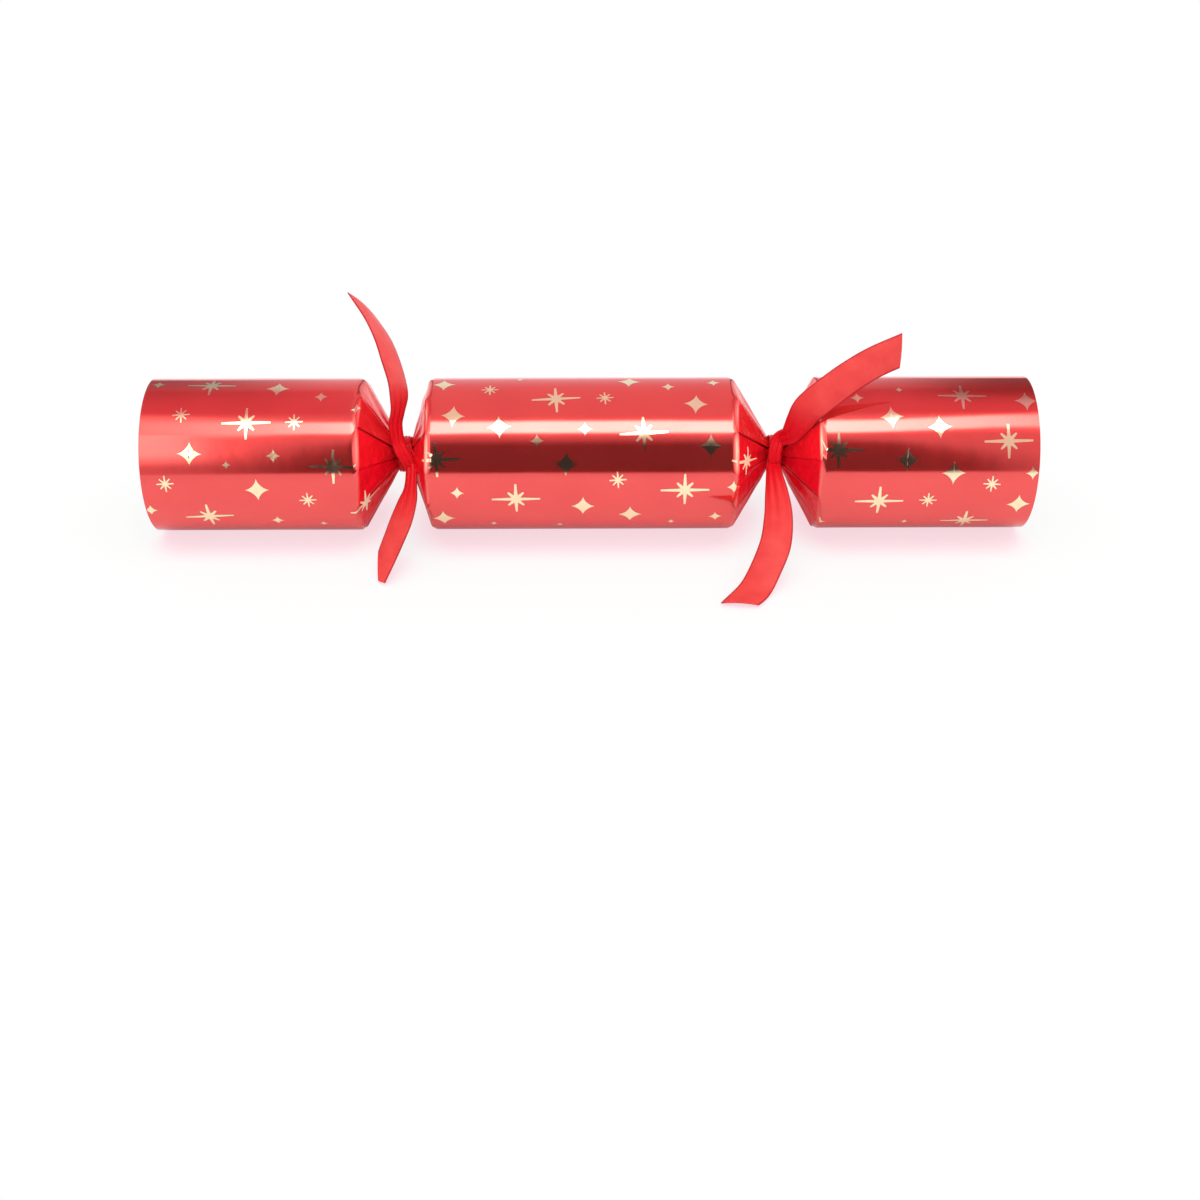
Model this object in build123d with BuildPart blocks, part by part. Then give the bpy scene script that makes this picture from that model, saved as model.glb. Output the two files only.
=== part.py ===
"""Christmas cracker: foil card sleeves tied at two necks, with a snap, a hat, a motto and a gift inside.

The cracker lies along X on a table at Z = 0, and -Y is the side with the ribbon knots.
The origin is on the table, midway between the two necks. All sizes are in millimetres.
"""
import math
import os
from typing import NamedTuple

from build123d import *

# Foil card sleeves. The barrel is set a little to the left between the two necks
sleeve_radius = 24.5
card_thickness = 0.35
barrel_length = 97.6
handle_length = 67.8
left_cone_length = 6.2
right_cone_length = 11.4
throat_length = 4.4
handle_cone_length = 10.2
# Length over which a round sleeve turns into the straight creases of its neck
flattening_length = 4.0

# Pleats of the neck: flat ridges with a fold tucked in between each two
pleat_count = 12
throat_apothem = 5.0
pleat_width = 2.1
fold_radius = 3.6
fold_mouth = 0.3

# Rolled card liners, glued into the sleeves
liner_thickness = 0.6
liner_gap = 0.05
liner_slit = 1.5
liner_setback = 1.5
liner_seam_angle = 60.0

# Snap: two card strips that lap at the middle of the barrel
strip_width = 5.6
strip_thickness = 0.5
strip_gap = 0.3
snap_overlap = 30.0
strip_straight_past_throat = 3.0
strip_slope_length = 30.0
strip_bend_radius = 12.0
strip_setback = 8.0
strip_seat_gap = 0.03
patch_length = 8.0
patch_width = 4.4
patch_gap = 0.06
band_length = 22.0
band_thickness = 0.18
band_clearance = 0.1

# Glue dabs at the outer ends of the strips
glue_length = 12.0
glue_width = 9.6
glue_cover = 0.6
glue_setback = 2.0

# Ribbons: gathered round the throat, knotted, with two tails
ribbon_width = 10.0
ribbon_thickness = 0.4
loop_gap = 0.05
loop_thickness = 0.7
knot_angle = 30.0
knot_length = 4.2
knot_width = 6.0
knot_height = 4.4
knot_fillet = 1.8
tail_root_width = 3.6


class Tail(NamedTuple):
    """Free end of a ribbon: places of its middle as offsets from the knot, and how it faces and ends."""

    stations: list
    facing_start: tuple
    facing_end: tuple
    gather_length: float
    end_cut: float


left_upper_tail = Tail(
    stations=[
        (-2.1, 2.9, 9.2),
        (-1.3, 4.3, 12.8),
        (-0.8, 6.2, 17.2),
        (-1.4, 8.6, 21.3),
        (-3.3, 12.3, 26.6),
        (-5.7, 16.4, 31.8),
        (-9.2, 20.5, 36.8),
        (-13.2, 24.2, 41.3),
    ],
    facing_start=(0.76, -0.60, 0.27),
    facing_end=(0.79, 0.12, 0.61),
    gather_length=17.0,
    end_cut=-36.0,
)
right_upper_tail = Tail(
    stations=[
        (3.5, -2.3, 7.7),
        (5.0, -5.0, 14.0),
        (8.2, -6.8, 19.6),
        (13.2, -6.1, 24.1),
        (19.9, -3.5, 28.3),
        (28.0, 0.2, 31.7),
        (37.0, 3.9, 34.1),
    ],
    facing_start=(-0.33, -0.94, 0.15),
    facing_end=(0.27, -0.87, 0.42),
    gather_length=15.0,
    end_cut=-23.0,
)
# The lower tails reach the table: the last value of a station is its share of the way down
left_lower_tail = Tail(
    stations=[
        (2.5, -7.4, 0.244),
        (1.6, -12.0, 0.369),
        (-0.3, -16.9, 0.528),
        (-2.5, -21.2, 0.678),
        (-4.9, -25.0, 0.831),
        (-7.0, -27.3, 0.923),
    ],
    facing_start=(-0.61, -0.62, 0.50),
    facing_end=(-0.66, -0.24, 0.71),
    gather_length=19.0,
    end_cut=-44.0,
)
right_lower_tail = Tail(
    stations=[
        (-0.2, -7.1, 0.091),
        (0.1, -13.6, 0.254),
        (-0.1, -19.6, 0.428),
        (-1.6, -26.1, 0.632),
        (-4.8, -32.1, 0.826),
        (-8.7, -38.6, 0.964),
        (-14.0, -45.9, 0.980),
    ],
    facing_start=(-0.4, -0.8, 0.4),
    facing_end=(0, 0, 1),
    gather_length=14.0,
    end_cut=30.0,
)

# Paper hat and motto, rolled
hat_length = 54.0
hat_core_radius = 2.0
hat_pitch = 1.5
hat_sheet = 1.0
hat_half_turns = 8
motto_length = 24.0
motto_sheet = 0.25
motto_pitch = 0.7
motto_half_turns = 3
motto_gap = 0.15

# Spinning top
top_radius = 10.0
top_rim_width = 8.0
top_cone_length = 7.0
top_nose_radius = 2.6
top_shoulder_length = 2.0
top_shoulder_radius = 4.0
top_fillet = 0.8
spindle_radius = 1.2
spindle_fit = 0.05
spindle_point_length = 2.5
spindle_handle_length = 10.0

# Places of the loose contents on the barrel's floor: the hat from its left end, the top from its right end
content_gap = 0.2
hat_setback = 3.6
top_setback = 4.5

# Worked out from the sizes above
axis_height = sleeve_radius
throat_start = (left_cone_length + barrel_length + right_cone_length) / 2
throat_centre = throat_start + throat_length / 2
throat_end = throat_start + throat_length
handle_crease = throat_end + handle_cone_length
rim = handle_crease + handle_length
# Distances from the middle to the barrel's creases, by side
barrel_creases = {-1: throat_start - left_cone_length, 1: throat_start - right_cone_length}
round_ends = {side: crease - flattening_length for side, crease in barrel_creases.items()}
pleat_step = 360 / pleat_count
liner_outer_radius = sleeve_radius - card_thickness - liner_gap
liner_inner_radius = liner_outer_radius - liner_thickness
throat_corner_radius = math.hypot(throat_apothem, pleat_width / 2)
loop_inner_radius = throat_corner_radius + loop_gap
loop_outer_radius = loop_inner_radius + loop_thickness
knot_reach = loop_inner_radius + knot_height / 2
knot_lift = Vector(0, -math.cos(math.radians(knot_angle)), math.sin(math.radians(knot_angle)))
barrel_floor = axis_height - liner_inner_radius + content_gap


def across(x, height=axis_height):
    """Plane square to the cracker's axis at x, with Y and Z as its own directions."""
    return Plane(origin=(x, 0, height), x_dir=(0, 1, 0), z_dir=(1, 0, 0))


def turned(points):
    """Repeats the points of one pleat round the whole neck."""
    return [
        Vector(*point).rotate(Axis.Z, pleat * pleat_step)
        for pleat in range(pleat_count)
        for point in points
    ]


def outline_face(x, points):
    """Flat face at x with straight sides through the points."""
    with BuildSketch(across(x)) as sketch:
        with BuildLine():
            Polyline(*points, close=True)
        make_face()
    return sketch.sketch.face()


def round_face(x, radius):
    """Disc at x whose edge is one arc for each pleat."""
    with BuildSketch(across(x)) as sketch:
        with BuildLine():
            for pleat in range(pleat_count):
                CenterArc((0, 0), radius, (pleat - 0.5) * pleat_step, pleat_step)
        make_face()
    return sketch.sketch.face()


def crease_sizes(inset):
    """Distance from the axis to a straight crease, and half its length."""
    half_step = math.radians(pleat_step / 2)
    apothem = sleeve_radius * math.cos(half_step) - inset
    return apothem, apothem * math.tan(half_step)


def crease_face(x, inset):
    """Polygon of the straight creases at the end of a round sleeve."""
    apothem, half_side = crease_sizes(inset)
    return outline_face(x, turned([(apothem, -half_side)]))


def cone_mouth_face(x, inset):
    """The same polygon with the points where each fold begins."""
    apothem, half_side = crease_sizes(inset)
    ridge = half_side - fold_mouth
    return outline_face(x, turned([(apothem, -half_side), (apothem, -ridge), (apothem, ridge)]))


def throat_face(x, inset):
    """Tied throat: flat ridges with the folds tucked in between."""
    apothem = throat_apothem - inset
    ridge = pleat_width / 2 - inset
    fold = Vector(fold_radius - inset, 0).rotate(Axis.Z, -pleat_step / 2)
    return outline_face(x, turned([(fold.X, fold.Y), (apothem, -ridge), (apothem, ridge)]))


def end_sleeve(side):
    """Handle tube and folded neck of one end, in one piece of card."""
    round_end = handle_crease + flattening_length
    with BuildPart() as sleeve:
        for inset, mode in ((0, Mode.ADD), (card_thickness, Mode.SUBTRACT)):
            # The inner faces of the steep cones stand off along X, to keep the card's thickness
            step = side * inset
            with BuildSketch(across(side * round_end)):
                Circle(sleeve_radius - inset)
            extrude(amount=side * (rim - round_end), mode=mode)
            loft(
                [
                    round_face(side * round_end, sleeve_radius - inset),
                    crease_face(side * handle_crease + step, inset),
                ],
                ruled=True,
                mode=mode,
            )
            loft(
                [
                    cone_mouth_face(side * handle_crease + step, inset),
                    throat_face(side * throat_end + step, inset),
                ],
                ruled=True,
                mode=mode,
            )
            extrude(
                throat_face(side * throat_start - step, inset),
                amount=throat_length + 2 * inset,
                dir=(side, 0, 0),
                mode=mode,
            )
            loft(
                [
                    throat_face(side * throat_start - step, inset),
                    cone_mouth_face(side * barrel_creases[side] - step, inset),
                ],
                ruled=True,
                mode=mode,
            )
    return sleeve.part


def liner(start, end):
    """Card rolled into a tube whose two edges nearly meet."""
    with BuildPart() as tube:
        with BuildSketch(across(start)):
            Circle(liner_outer_radius)
            Circle(liner_inner_radius, mode=Mode.SUBTRACT)
            with Locations(Rotation(0, 0, liner_seam_angle)):
                Rectangle(liner_outer_radius, liner_slit, align=(Align.MIN, Align.CENTER), mode=Mode.SUBTRACT)
        extrude(amount=end - start)
    return tube.part


def strip_level(side):
    """Height of a strip's middle where the two strips lap: the left one lies on top."""
    return axis_height - side * (strip_gap + strip_thickness) / 2


def strip_seat_height():
    """Height of a strip's middle where its edges lie on the round floor of the handle."""
    edge_drop = math.sqrt(liner_inner_radius**2 - (strip_width / 2) ** 2)
    return axis_height - edge_drop + strip_seat_gap + strip_thickness / 2


def snap_strip(side):
    """Card strip from the lap, through the throat, down to the floor of the handle."""
    slope_start = throat_end + strip_straight_past_throat
    with BuildPart() as strip:
        with BuildLine(Plane.XZ) as path:
            FilletPolyline(
                (-side * snap_overlap / 2, strip_level(side)),
                (side * slope_start, strip_level(side)),
                (side * (slope_start + strip_slope_length), strip_seat_height()),
                (side * (rim - strip_setback), strip_seat_height()),
                radius=strip_bend_radius,
            )
        with BuildSketch(Plane(origin=path.line @ 0, x_dir=(0, 1, 0), z_dir=path.line % 0)):
            Rectangle(strip_width, strip_thickness)
        sweep()
    return strip.part


def snap_patch(side):
    """Thin patch on the face of a strip that rubs on the other strip."""
    patch_thickness = (strip_gap - patch_gap) / 2
    with BuildPart() as patch:
        with BuildSketch(Plane.XY.offset(axis_height - side * patch_gap / 2)):
            Rectangle(patch_length, patch_width)
        extrude(amount=-side * patch_thickness)
    return patch.part


def snap_glue(side):
    """Dab of glue over the outer end of a strip, on the floor of the handle."""
    seat = strip_seat_height() - axis_height
    top = seat + strip_thickness / 2 + glue_cover
    with BuildPart() as glue:
        with BuildSketch(across(side * (rim - strip_setback - glue_setback))):
            Circle(liner_inner_radius)
            with Locations((0, top)):
                Rectangle(
                    glue_width,
                    liner_inner_radius,
                    align=(Align.CENTER, Align.MAX),
                    mode=Mode.INTERSECT,
                )
            with Locations((0, seat)):
                Rectangle(strip_width, strip_thickness, mode=Mode.SUBTRACT)
        extrude(amount=-side * glue_length)
    return glue.part


def rolled_sheet(start, length, height, core_radius, pitch, sheet, half_turns):
    """Sheet rolled up in half turns, each larger by half the pitch."""
    with BuildPart() as roll:
        with BuildSketch(across(start, height)):
            with BuildLine():
                for turn in range(half_turns):
                    centre = ((-1) ** (turn + 1) * pitch / 4, 0)
                    radius = core_radius + turn * pitch / 2
                    inner = CenterArc(centre, radius, 180 * turn, 180)
                    outer = CenterArc(centre, radius + sheet, 180 * turn, 180)
                    if turn == 0:
                        Line(inner @ 0, outer @ 0)
                Line(inner @ 1, outer @ 1)
            make_face()
        extrude(amount=length)
    return roll.part


def knot_middle(side):
    """Middle of a ribbon's knot, on the side of the throat that faces the viewer."""
    return Vector(side * throat_centre, 0, axis_height) + knot_lift * knot_reach


def landed(knot, tail):
    """The same tail with heights in place of the shares of the way down to the table."""
    drop = knot.Z - ribbon_thickness / 2
    return tail._replace(stations=[(x, y, -share * drop) for x, y, share in tail.stations])


def tail_sections(knot, tail):
    """Sections of a ribbon tail through its stations.

    The tail widens over its gather length, turns its face from one direction
    to the other, and ends in a cut that slants by the given angle.
    """
    points = [knot] + [knot + Vector(*station) for station in tail.stations]
    last = len(points) - 1
    travelled = 0
    sections = []
    for index, point in enumerate(points):
        before = points[max(index - 1, 0)]
        after = points[min(index + 1, last)]
        along = (after - before).normalized()
        facing = Vector(*tail.facing_start) * (last - index) + Vector(*tail.facing_end) * index
        sideways = along.cross(facing).normalized()
        travelled += (point - before).length
        gathered = max(1 - travelled / tail.gather_length, 0)
        width = ribbon_width - gathered * (ribbon_width - tail_root_width)
        if index == last:
            slant = math.tan(math.radians(tail.end_cut))
            sideways, along = sideways + along * slant, along - sideways * slant
            width *= sideways.length
        with BuildSketch(Plane(origin=point, x_dir=sideways, z_dir=along)) as section:
            Rectangle(width, ribbon_thickness)
        sections.append(section.sketch.face())
    return sections


def ribbon(side, upper_tail, lower_tail):
    """Ribbon tied round the throat of one neck: loop, knot and two tails."""
    knot = knot_middle(side)
    with BuildPart() as tied:
        with BuildSketch(across(side * throat_centre)):
            Circle(loop_outer_radius)
            Circle(loop_inner_radius, mode=Mode.SUBTRACT)
        extrude(amount=throat_length / 2, both=True)
        with BuildSketch(Plane(origin=knot, x_dir=(1, 0, 0), z_dir=knot_lift)):
            RectangleRounded(knot_length, knot_width, knot_fillet)
        extrude(amount=knot_height / 2, both=True)
        crown = tied.faces().sort_by(Axis(knot, knot_lift))[-1]
        fillet(crown.edges(), knot_fillet)
        for tail in (upper_tail, landed(knot, lower_tail)):
            loft(tail_sections(knot, tail), ruled=True)
    return tied.part


# Sleeves
with BuildPart() as barrel_sleeve:
    for inset, mode in ((0, Mode.ADD), (card_thickness, Mode.SUBTRACT)):
        with BuildSketch(across(-round_ends[-1])):
            Circle(sleeve_radius - inset)
        extrude(amount=round_ends[-1] + round_ends[1], mode=mode)
        for side in (-1, 1):
            loft(
                [
                    round_face(side * round_ends[side], sleeve_radius - inset),
                    crease_face(side * barrel_creases[side], inset),
                ],
                ruled=True,
                mode=mode,
            )

pieces = {
    "barrel_sleeve": barrel_sleeve.part,
    "left_end_sleeve": end_sleeve(-1),
    "right_end_sleeve": end_sleeve(1),
}

# Liners
liner_start = handle_crease + flattening_length
pieces["barrel_liner"] = liner(-round_ends[-1], round_ends[1])
pieces["left_end_liner"] = liner(-rim + liner_setback, -liner_start)
pieces["right_end_liner"] = liner(liner_start, rim - liner_setback)

# Ribbons
pieces["left_ribbon"] = ribbon(-1, left_upper_tail, left_lower_tail)
pieces["right_ribbon"] = ribbon(1, right_upper_tail, right_lower_tail)

# Snap
pieces["left_snap_strip"] = snap_strip(-1)
pieces["right_snap_strip"] = snap_strip(1)
pieces["snap_charge"] = snap_patch(-1)
pieces["snap_grit"] = snap_patch(1)
pieces["left_snap_glue"] = snap_glue(-1)
pieces["right_snap_glue"] = snap_glue(1)

band_floor = strip_level(1) - strip_thickness / 2
band_height = 2 * strip_thickness + strip_gap + band_clearance
band_width = strip_width + 2 * band_clearance
with BuildPart() as snap_band:
    with BuildSketch(across(-band_length / 2, band_floor + band_height / 2)):
        Rectangle(band_width + 2 * band_thickness, band_height + 2 * band_thickness)
        Rectangle(band_width, band_height, mode=Mode.SUBTRACT)
    extrude(amount=band_length)
pieces["snap_band"] = snap_band.part

# Contents
hat_radius = hat_core_radius + (hat_half_turns - 1) * hat_pitch / 2 + hat_sheet + hat_pitch / 4
motto_core_radius = hat_radius + motto_gap
motto_bottom_radius = motto_core_radius + motto_pitch / 2 + motto_sheet
roll_height = barrel_floor + motto_bottom_radius
hat_start = hat_setback - barrel_creases[-1]
pieces["paper_hat"] = rolled_sheet(
    hat_start, hat_length, roll_height, hat_core_radius, hat_pitch, hat_sheet, hat_half_turns
)
pieces["motto_slip"] = rolled_sheet(
    hat_start + (hat_length - motto_length) / 2,
    motto_length,
    roll_height,
    motto_core_radius,
    motto_pitch,
    motto_sheet,
    motto_half_turns,
)

rim_start = spindle_handle_length + top_shoulder_length
rim_end = rim_start + top_rim_width
nose = rim_end + top_cone_length
spindle_tip = nose + spindle_point_length
bore_radius = spindle_radius + spindle_fit
top_start = barrel_creases[1] - top_setback - spindle_tip
top_plane = Plane(origin=(top_start, 0, barrel_floor + top_radius), x_dir=(1, 0, 0), z_dir=(0, -1, 0))
top_axis = Axis(top_plane.origin, top_plane.x_dir)
with BuildPart() as top_body:
    with BuildSketch(top_plane):
        with BuildLine():
            Polyline(
                (spindle_handle_length, bore_radius),
                (spindle_handle_length, top_shoulder_radius),
                (rim_start, top_radius),
                (rim_end, top_radius),
                (nose, top_nose_radius),
                (nose, bore_radius),
                close=True,
            )
        make_face()
    revolve(axis=top_axis)
    circles = top_body.edges().filter_by(GeomType.CIRCLE)
    fillet(circles.filter_by(lambda edge: edge.radius > top_radius - top_fillet), top_fillet)
pieces["top_body"] = top_body.part

with BuildPart() as top_spindle:
    with BuildSketch(top_plane):
        with BuildLine():
            Polyline(
                (0, 0),
                (0, spindle_radius),
                (nose, spindle_radius),
                (spindle_tip, 0),
                close=True,
            )
        make_face()
    revolve(axis=top_axis)
pieces["top_spindle"] = top_spindle.part

os.makedirs("parts", exist_ok=True)
for name, piece in pieces.items():
    piece.label = name
    export_step(piece, f"parts/{name}.step")
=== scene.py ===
# %% [markdown]
# # A Christmas cracker
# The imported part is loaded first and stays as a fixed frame. Every piece made here is in metres,
# in that frame, and rides on one of its bodies: the barrel, the two ends that pull away from it,
# the rolled hat and the small toy. The cracker lies along X, and -Y is the side with the knots.

# %% Load the frame
import math
import random

import bpy
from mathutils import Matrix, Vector, noise
from mathutils.interpolate import poly_3d_calc


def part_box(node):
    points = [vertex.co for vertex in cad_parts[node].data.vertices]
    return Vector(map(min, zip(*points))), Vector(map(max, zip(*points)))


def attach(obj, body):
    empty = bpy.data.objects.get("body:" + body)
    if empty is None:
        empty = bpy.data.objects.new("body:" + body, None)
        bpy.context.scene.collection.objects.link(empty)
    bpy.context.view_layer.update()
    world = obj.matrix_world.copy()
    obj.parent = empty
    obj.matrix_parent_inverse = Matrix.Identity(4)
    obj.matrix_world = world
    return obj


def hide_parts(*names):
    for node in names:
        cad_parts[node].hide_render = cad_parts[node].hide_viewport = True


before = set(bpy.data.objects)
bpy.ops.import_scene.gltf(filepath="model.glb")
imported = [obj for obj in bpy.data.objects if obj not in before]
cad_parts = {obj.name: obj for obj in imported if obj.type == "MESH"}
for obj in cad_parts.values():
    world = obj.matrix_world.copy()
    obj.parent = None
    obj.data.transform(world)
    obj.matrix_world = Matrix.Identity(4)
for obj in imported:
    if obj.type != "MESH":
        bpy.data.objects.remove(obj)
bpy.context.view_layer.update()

mm = 0.001
print("nodes:", len(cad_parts))

# %% [markdown]
# ## The camera
# The photograph looks down on the cracker from the front, about 30 degrees above the table.
# A camera could be placed by eye, but the long straight tube gives away its distance: the rims
# bulge outwards because the ends are seen from the side. The camera is tilted a little further
# down than the line to the cracker, because the cracker sits in the upper part of the picture.

# %% Camera
photo_size = 1200
sleeve_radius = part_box("barrel_sleeve")[1].z / 2
axis_height = sleeve_radius
camera_distance = 0.532
camera_elevation = math.radians(30)
camera_tilt = math.radians(35.15)
camera_turn = math.radians(-0.4)
lens_pixels = 1628.6

camera_data = bpy.data.cameras.new("camera")
camera_data.sensor_width = 36
camera_data.lens = lens_pixels / photo_size * camera_data.sensor_width
camera = bpy.data.objects.new("camera", camera_data)
camera.location = (
    0,
    -camera_distance * math.cos(camera_elevation),
    axis_height + camera_distance * math.sin(camera_elevation),
)
camera.rotation_euler = (math.pi / 2 - camera_tilt, 0, camera_turn)
bpy.context.scene.collection.objects.link(camera)
bpy.context.scene.camera = camera
print("camera", round(camera_distance, 3), "m away, lens", round(camera_data.lens, 1))

# %% [markdown]
# ## Building materials from nodes
# All finishes are made of nodes, so they need no pictures. A few small helpers keep that short:
# one adds a node and fills or links its inputs, some add the nodes that come up again and again,
# and one starts a material with one Principled shader. Values that are the same all over are set
# on the shader's own sockets.

# %% Node helpers
def empty_tree(owner):
    """Node tree of a material or a world, without the nodes that it starts with."""
    owner.use_nodes = True
    owner.node_tree.nodes.clear()
    return owner.node_tree


def add_node(tree, kind, inputs=None, **settings):
    """Adds a node. An input is filled with a value, or linked if it is given a socket."""
    node = tree.nodes.new(kind)
    for name, value in settings.items():
        setattr(node, name, value)
    for name, value in (inputs or {}).items():
        if isinstance(value, bpy.types.NodeSocket):
            tree.links.new(value, node.inputs[name])
        else:
            node.inputs[name].default_value = value
    return node


def calculated(tree, operation, *values):
    """Result of a math node."""
    inputs = dict(enumerate(values))
    return add_node(tree, "ShaderNodeMath", inputs, operation=operation).outputs[0]


def product(tree, result, *others):
    """Product of several shares."""
    for other in others:
        result = calculated(tree, "MULTIPLY", result, other)
    return result


def between(tree, value, start, end, low=0.0, high=1.0, ends="SMOOTHSTEP"):
    """Carries a value from start and end over to low and high, by default with soft ends."""
    inputs = {"Value": value, "From Min": start, "From Max": end, "To Min": low, "To Max": high}
    return add_node(tree, "ShaderNodeMapRange", inputs, interpolation_type=ends).outputs["Result"]


def spread(tree, value, low, high):
    """Spreads a value from 0 and 1 to low and high."""
    return between(tree, value, 0, 1, low, high, "LINEAR")


def blended(tree, share, first, second):
    """Colour between two colours, by a share."""
    inputs = {0: share, 6: first, 7: second}
    return add_node(tree, "ShaderNodeMix", inputs, data_type="RGBA").outputs[2]


def two_tone(tree, value, dark, light, start=0.3, end=0.7):
    """Colour that goes from dark to light as a value grows."""
    ramp = add_node(tree, "ShaderNodeValToRGB", {"Fac": value})
    steps = ramp.color_ramp.elements
    steps[0].position, steps[0].color = start, (*dark, 1)
    steps[1].position, steps[1].color = end, (*light, 1)
    return ramp.outputs["Color"]


def own_place(tree):
    """Place on the object, in its own coordinates."""
    return add_node(tree, "ShaderNodeTexCoord").outputs["Object"]


def mark_of(tree, name):
    """Value of a mark that is kept on the mesh."""
    return add_node(tree, "ShaderNodeAttribute", attribute_name=name).outputs["Fac"]


print("node helpers ready")


# %% Finish helpers
def new_finish(name, **values):
    """New material with one Principled shader whose sockets get the given values."""
    material = bpy.data.materials.new(name)
    tree = empty_tree(material)
    inputs = {socket.replace("_", " "): value for socket, value in values.items()}
    shader = add_node(tree, "ShaderNodeBsdfPrincipled", inputs)
    add_node(tree, "ShaderNodeOutputMaterial", {"Surface": shader.outputs["BSDF"]})
    return material, tree, shader


def feed(shader, **sources):
    """Links sockets to the shader's inputs of these names."""
    for name, source in sources.items():
        shader.id_data.links.new(source, shader.inputs[name.replace("_", " ")])


def mottled(tree, shader, scale, dark, light, detail=4.0):
    """Base colour that wanders between two colours, by noise on the object's own coordinates."""
    inputs = {"Vector": own_place(tree), "Scale": scale, "Detail": detail}
    grain = add_node(tree, "ShaderNodeTexNoise", inputs).outputs["Fac"]
    colour = two_tone(tree, grain, dark, light)
    feed(shader, Base_Color=colour)
    return grain, colour


def bumped(tree, height, strength, distance, **others):
    inputs = {"Height": height, "Strength": strength, "Distance": distance, **others}
    return add_node(tree, "ShaderNodeBump", inputs).outputs["Normal"]


def rough_and_bumpy(tree, shader, height, rough, bump):
    """Roughness between two values, and a bump of a strength and a distance, from one height."""
    roughness = spread(tree, height, *rough)
    normal = bumped(tree, height, *bump)
    feed(shader, Roughness=roughness, Normal=normal)
    return roughness, normal


print("finish helpers ready")

# %% [markdown]
# ## Floor
# The table is white paint, and the camera sees most of it as plain white, so that it has no edge.
# The red foil throws a faint pink on the table close below it. Bounced light could make that pink,
# but the plain white would hide it, so the pink is a painted glow: ambient occlusion finds where
# something is close above, and there the table's white turns pink.

# %% Floor
def new_mesh(name, verts, faces, *materials):
    """New mesh with smooth faces."""
    mesh = bpy.data.meshes.new(name)
    mesh.from_pydata(verts, [], faces)
    mesh.polygons.foreach_set("use_smooth", [True] * len(faces))
    for material in materials:
        mesh.materials.append(material)
    return mesh


def new_piece(name, mesh):
    """New object of a mesh, in the scene."""
    piece = bpy.data.objects.new(name, mesh)
    bpy.context.scene.collection.objects.link(piece)
    return piece


floor_half = 4.0
floor_paint = (0.78, 0.78, 0.78, 1)
pure_white = (1.0, 1.0, 1.0, 1)
# Colour of the painted pink glow, where the red foil is close above the table
painted_pink_glow = (1.04, 0.80, 0.86, 1)
# How far from the middle the table starts to be plain white, and where it is white altogether
white_start, white_end = 0.16, 0.42
least_white_seen, least_white_mirrored = 0.82, 0.2
# How far the painted pink glow reaches from the foil
painted_glow_reach = 12 * mm
floor_finish = bpy.data.materials.new("white_table")
corners = [(x * floor_half, y * floor_half, 0) for x, y in ((-1, -1), (1, -1), (1, 1), (-1, 1))]
floor = new_piece("floor", new_mesh("floor", corners, [(0, 1, 2, 3)], floor_finish))

tree = empty_tree(floor_finish)
path = add_node(tree, "ShaderNodeLightPath").outputs
place = own_place(tree)
reach = add_node(tree, "ShaderNodeVectorMath", {0: place}, operation="LENGTH").outputs["Value"]


def white_share(rays, least):
    """Share of plain white that some rays see, which grows away from the cracker."""
    return product(tree, rays, between(tree, reach, white_start, white_end, least))


mirrored = calculated(tree, "MAXIMUM", path["Is Glossy Ray"], path["Is Transmission Ray"])
in_view = white_share(path["Is Camera Ray"], least_white_seen)
share = calculated(tree, "MAXIMUM", in_view, white_share(mirrored, least_white_mirrored))
# Painted glow: where foil is close above, the table's white turns pink
open_sky = add_node(tree, "ShaderNodeAmbientOcclusion", {"Distance": painted_glow_reach}, samples=8)
painted_glow_share = between(tree, open_sky.outputs["AO"], 1.0, 0.40)
white = blended(tree, painted_glow_share, pure_white, painted_pink_glow)
paint = add_node(tree, "ShaderNodeBsdfDiffuse", {"Color": floor_paint}).outputs[0]
glow = add_node(tree, "ShaderNodeEmission", {"Color": white, "Strength": 1.0}).outputs[0]
surface = add_node(tree, "ShaderNodeMixShader", {0: share, 1: paint, 2: glow}).outputs[0]
add_node(tree, "ShaderNodeOutputMaterial", {"Surface": surface})
print("floor", 2 * floor_half, "m wide")

# %% [markdown]
# ## Room
# Foil shows what stands around it, so its look is made by the room more than by its colour.
# The photograph's tube has a cream streak from a soft light almost overhead, a dark band below it
# where the dark side of the room is mirrored, and a coral lower half that mirrors the white table.
# An area light could draw the streak, but the room's other patches would still be missing, so the
# whole room is painted in the world: a soft sky, one long bright strip, a pale patch at the left
# and a dark patch in front.

# %% Directions in the room
world = bpy.data.worlds.new("room")
bpy.context.scene.world = world
tree = empty_tree(world)
aim = add_node(tree, "ShaderNodeTexCoord").outputs["Generated"]
aim_x, aim_y, aim_z = add_node(tree, "ShaderNodeSeparateXYZ", {0: aim}).outputs

# Angle round the cracker's length in degrees: 0 is level in front, 90 overhead, 180 level behind
forward = product(tree, aim_y, -1.0)
rise = product(tree, calculated(tree, "ARCTAN2", aim_z, forward), math.degrees(1))
offside = calculated(tree, "ABSOLUTE", aim_x)
print("directions:", aim_x.name, aim_y.name, aim_z.name)

# %% Sky and its dark patches
sky_light = 0.84
wall_light = 0.8
dark_depth = 0.96


def darkened(light, shade):
    return product(tree, light, calculated(tree, "SUBTRACT", 1.0, shade))


def left_to_right(left, right):
    return between(tree, aim_x, -0.2, 0.2, left, right)


def patch(*edges):
    """Share of a patch. An edge is a direction, where the patch starts and where it is full."""
    return product(tree, *(between(tree, *edge) for edge in edges))


# The back of the room is darker towards the sides, most at the right
back_edge = (rise, left_to_right(85.0, 98.0), left_to_right(180.0, 142.0))
back = patch((offside, 0.14, 0.25), (offside, 0.33, 0.27), back_edge)
back = product(tree, back, left_to_right(0.72, 0.82))
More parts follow.
